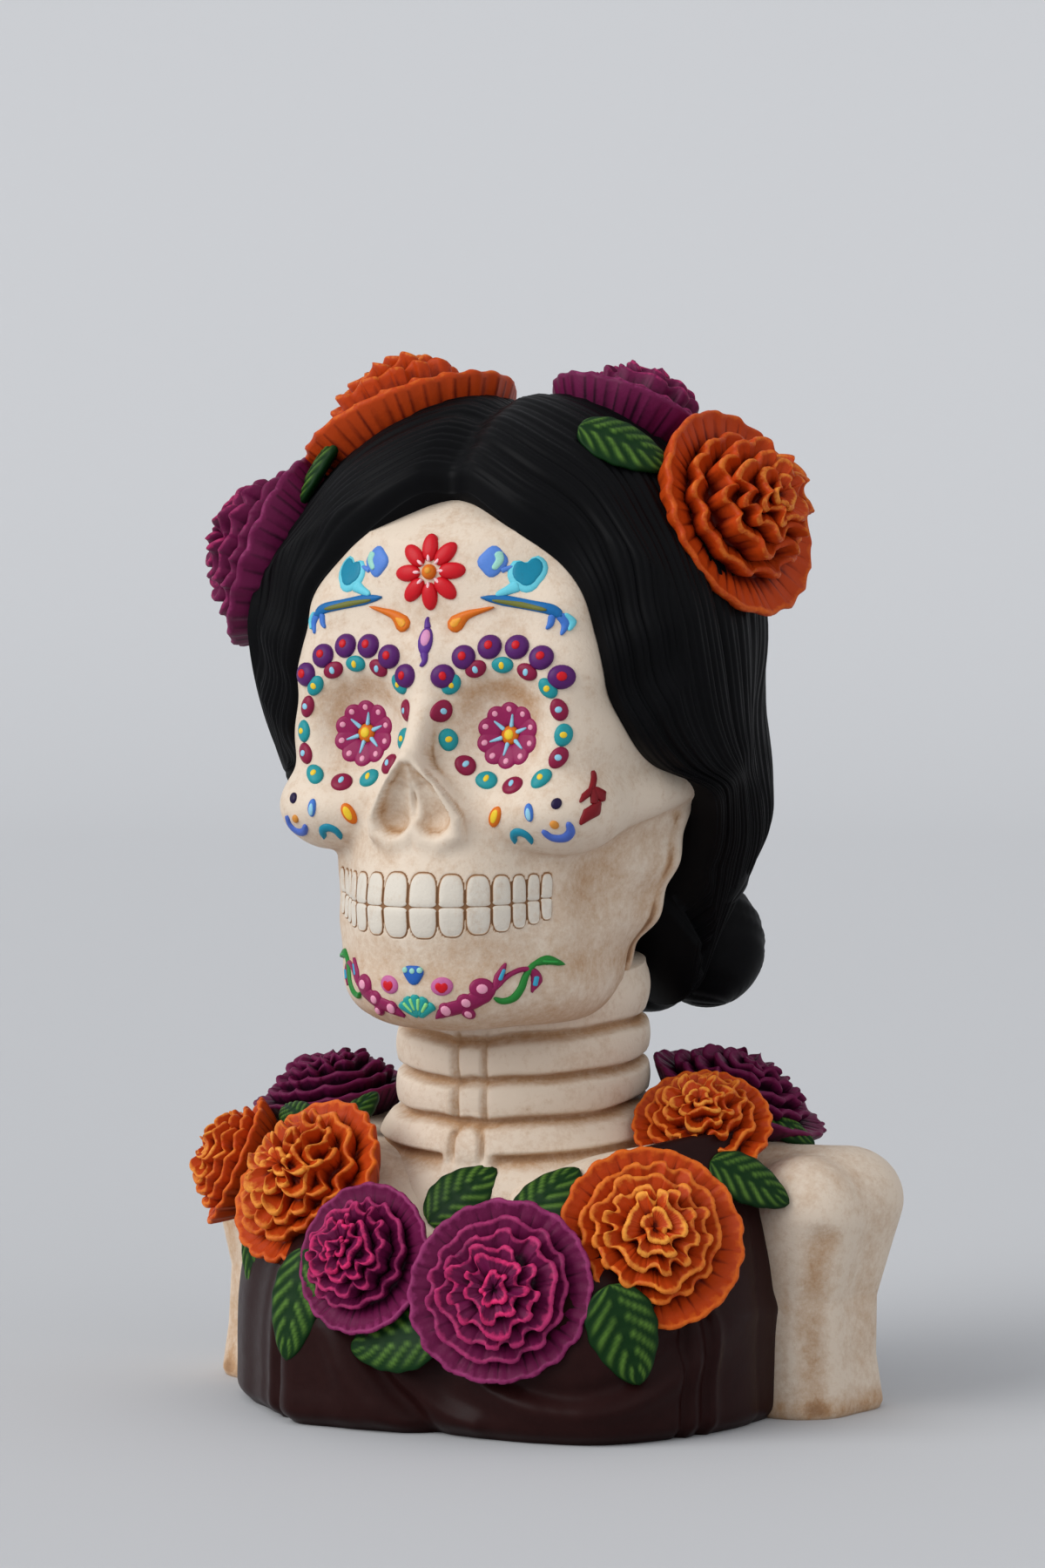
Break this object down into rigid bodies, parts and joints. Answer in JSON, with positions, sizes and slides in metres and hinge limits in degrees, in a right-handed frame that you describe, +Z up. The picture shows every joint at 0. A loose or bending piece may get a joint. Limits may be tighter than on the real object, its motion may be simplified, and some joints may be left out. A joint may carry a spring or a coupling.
{
  "type": "painted skull lady bust",
  "caption": "Bust of a lady with a decorated skull face, braided black hair, flowers in the hair and round the shoulders, and a draped shawl; flat underside.",
  "frame": {"origin": "on the flat underside, midway between the cut ends of the two arms", "axes": "+Z up; the lady looks along -Y; +X is towards her left arm"},
  "size_m": [0.2066, 0.1628, 0.293],
  "materials": {
    "bone": "matte painted, with a brown wash in the creases",
    "hair": "matte black paint",
    "shawl": "satin dark brown paint",
    "orange_petals": "matte orange paint with lighter edges",
    "purple_petals": "matte purple paint with pink edges",
    "leaves": "matte green paint with lime veins",
    "ornament": "satin raised paint in many colours"
  },
  "bodies": {
    "root": {"catrina_bust": "bone"}
  },
  "joints": []
}
